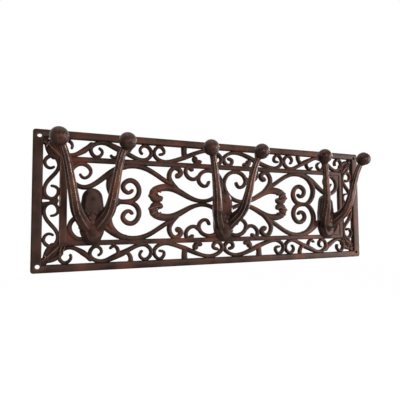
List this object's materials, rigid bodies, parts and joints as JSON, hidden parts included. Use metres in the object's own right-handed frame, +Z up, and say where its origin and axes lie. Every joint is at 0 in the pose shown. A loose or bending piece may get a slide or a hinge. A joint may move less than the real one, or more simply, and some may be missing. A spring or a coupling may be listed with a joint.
{
  "type": "garden tool hook",
  "caption": "Openwork cast-iron scroll panel for a wall, with double hooks whose upswept prongs end in balls, for hanging garden tools.",
  "frame": {"origin": "centre of the four screw holes, on the flat back of the panel", "axes": "+Z up, +X to the right along the panel, hooks towards -Y"},
  "size_m": [0.468, 0.055, 0.16],
  "materials": {
    "cast_iron": "brown-black antique finish, rubbed to rust brown on the edges"
  },
  "bodies": {
    "root": {"tool_rack": "cast_iron"}
  },
  "joints": []
}
